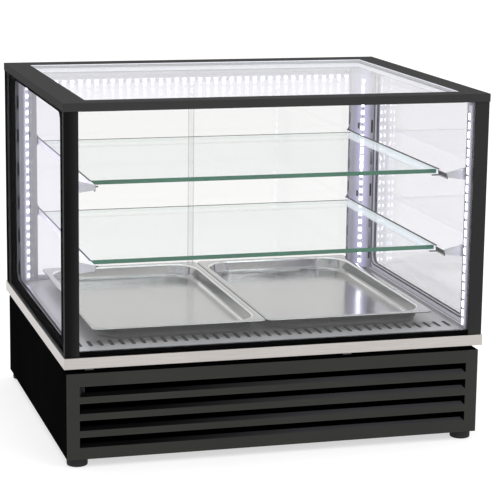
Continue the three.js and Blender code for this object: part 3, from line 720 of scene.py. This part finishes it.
def build_screws():
    """Screws at the corners and the top edge of the rear panel."""
    mesh = bmesh.new()
    for x, z in ((-372, 32), (-372, 150), (372, 32), (372, 150), (40, 158)):
        screw(mesh, (x, BACK_FACE_Y, z), (0, 1, 0))
    obj = add_object("panel_screws", finish_mesh(mesh, "panel_screws"), [ZINC])


def dark_piece(mesh, name, material, body="cabinet"):
    """A flat-shaded piece in the given material, used for rubber trim, black seals and black pieces of
    painted shade.
    """
    obj = add_object(name, finish_mesh(mesh, name, False), [material], body)


def build_shelf_trim():
    """Dark seals along the shelf rails, their hook tips, and the line at the shelves' back edge."""
    for level, top in SHELF_TOPS.items():
        mesh = bmesh.new()
        for side in (-1, 1):
            bar(mesh, (side * 328.4, 23, top + 0.9), (1.3, 265, 0.8))
            bar(mesh, (side * 327.2, -262, top - 4.6), (0.3, 20, 3.6))
            bar(mesh, (side * 349.3, 275.2, top + 10), (1.6, 1.6, 6))
        dark_piece(mesh, f"shelf_trim_{level}", TRIM, f"shelf_rails_{level}")
        mesh = bmesh.new()
        bar(mesh, (0, 257.2, top - 0.8), (325, 0.7, 0.7))
        dark_piece(mesh, f"shelf_arris_{level}", TRIM, f"shelf_{level}")


def build_backings():
    """Dark bars behind the air slots of the corner posts, painted shade seen through the slots, and
    tabs in the base's recess.
    """
    mesh = bmesh.new()
    for side in (-1, 1):
        for i in range(6):
            bar(mesh, (side * 374.45, 264.4, 239.5 + 67.5 * i), (2.7, 0.3, 14))
    dark_piece(mesh, "slot_shade_bars", BORDER)
    mesh = bmesh.new()
    for x in (-343, 137):
        bar(mesh, (x, -298.6, 175.5), (8, 0.8, 2.6))
    obj = add_object("recess_tabs", finish_mesh(mesh, "recess_tabs", False), [ZINC])


def ring_section(base, outer, height, inner=0.05, taper=0.0):
    """A flat ring's section: pairs of growth from the outline and height."""
    return ((inner, base), (outer, base), (outer - taper, base + height), (inner, base + height))


def build_slot_shade_rings():
    """Black rings round the air slots along the front of the deck, painted shade that makes the slots
    look wider and darker.
    """
    mesh = bmesh.new()
    section = ring_section(DECK_TOP + 0.02, 1.0, 0.18, taper=0.1)
    for i in range(SLOT_COUNT):
        x = (i - (SLOT_COUNT - 1) / 2) * SLOT_PITCH
        rings = []
        for grow, z in section:
            half = SLOT_WIDTH / 2 + grow
            reach = SLOT_LENGTH / 2 + grow
            outline = (x - half, SLOT_Y - reach, x + half, SLOT_Y + reach)
            rings.append(rounded_ring(*outline, half - 0.01, z, 4))
        bridge(mesh, rings + [rings[0]], closed_ends=False)
    bmesh.ops.remove_doubles(mesh, verts=mesh.verts, dist=WELD_DISTANCE)
    dark_piece(mesh, "slot_shade_rings", BORDER)


def build_window_beads():
    """The dark edge of the seal round each side window, seen from inside."""
    y0, z0, y1, z1 = WINDOW
    for label, side in (("left", -1), ("right", 1)):
        mesh = bmesh.new()
        rings = []
        for grow, x in ring_section(WINDOW_FACE_X, 3.2, 0.3, inner=0.2):
            outline = (y0 - grow, z0 - grow, y1 + grow, z1 + grow)
            flat = rounded_ring(*outline, WINDOW_RADIUS + grow, 0)
            rings.append([Vector((side * x * MM, point.x, point.y)) for point in flat])
        bridge(mesh, rings + [rings[0]], closed_ends=False)
        bmesh.ops.remove_doubles(mesh, verts=mesh.verts, dist=WELD_DISTANCE)
        dark_piece(mesh, f"window_bead_{label}", BORDER)


def build_dial():
    """Raised ticks round the thermostat knob."""
    mesh = bmesh.new()
    reach = 27.5
    for i in range(10):
        angle = math.radians(-135 + 30 * i)
        x = KNOB_X + reach * math.sin(angle)
        z = KNOB_Z + reach * math.cos(angle)
        turn = Matrix.Rotation(angle, 4, "Y")
        length = 2.6 if i % 3 == 0 else 1.7
        bar(mesh, (x, BACK_FACE_Y + 0.2, z), (0.5, 0.2, length), turn)
    obj = add_object("dial_ticks", finish_mesh(mesh, "dial_ticks", False), [WHITE])


# ---------------------------------------------------------------- stage
def build_floor():
    """A glowing sheet of paper under the case."""
    mesh = bpy.data.meshes.new("floor")
    size = 12
    corners = [(-size, -size, 0), (size, -size, 0), (size, size, 0), (-size, size, 0)]
    mesh.from_pydata(corners, [], [(0, 1, 2, 3)])
    floor = bpy.data.objects.new("floor", mesh)
    paper = principled("floor_paper", 0.45, 0.47, (0.8, 0.9), specular=0.05, grain=2, glow=0.62)
    shader = paper.node_tree.nodes["Principled BSDF"]
    shader.inputs["Emission Color"].default_value = (1, 1, 1, 1)
    floor.data.materials.append(paper)
    floor.location.z = -0.0002
    scene.collection.objects.link(floor)


def build_world():
    """White surroundings."""
    world = bpy.data.worlds.new("studio")
    scene.world = world
    world.use_nodes = True
    background = world.node_tree.nodes["Background"]
    background.inputs["Color"].default_value = (1, 1, 1, 1)
    background.inputs["Strength"].default_value = 1.02


def area_light(name, location, size_xy, power):
    """A white area light turned to the middle of the case."""
    light = bpy.data.lights.new(name, "AREA")
    light.shape = "RECTANGLE"
    light.size, light.size_y = size_xy
    light.energy = power
    obj = bpy.data.objects.new(name, light)
    obj.location = location
    direction = Vector((0, 0, 0.3)) - Vector(location)
    obj.rotation_euler = direction.to_track_quat("-Z", "Y").to_euler()
    scene.collection.objects.link(obj)


def build_camera():
    """A long lens, from the front left and a little above."""
    data = bpy.data.cameras.new("camera")
    data.sensor_width = 36
    data.lens = 140.05
    data.clip_start, data.clip_end = 0.1, 60
    camera = bpy.data.objects.new("camera", data)
    yaw, pitch, roll = 0.280, 0.2031, 0.0131
    level = Vector((math.sin(yaw), math.cos(yaw), 0))
    forward = level * math.cos(pitch) - Vector((0, 0, math.sin(pitch)))
    right = Vector((math.cos(yaw), -math.sin(yaw), 0))
    up = right.cross(forward)
    tilted_right = right * math.cos(roll) + up * math.sin(roll)
    tilted_up = up * math.cos(roll) - right * math.sin(roll)
    turn = Matrix((tilted_right, tilted_up, -forward)).transposed()
    camera.matrix_world = Matrix.Translation((-0.9902, -3.5673, 1.0764)) @ turn.to_4x4()
    scene.collection.objects.link(camera)
    scene.camera = camera


scene.view_settings.view_transform = "Standard"
scene.cycles.max_bounces = 16
scene.cycles.transparent_max_bounces = 48
scene.cycles.glossy_bounces = 6

dress_frame()
round_edges()
build_pan("pan_left")
build_pan("pan_right")
build_lights()
build_screws()
build_dial()
build_shelf_trim()
build_backings()
build_slot_shade_rings()
build_window_beads()
build_floor()
build_world()
area_light("key", (1.6, -2.6, 2.6), (2.0, 1.6), 25)
area_light("top", (0, 0.2, 3.2), (2.4, 2.4), 20)
build_camera()
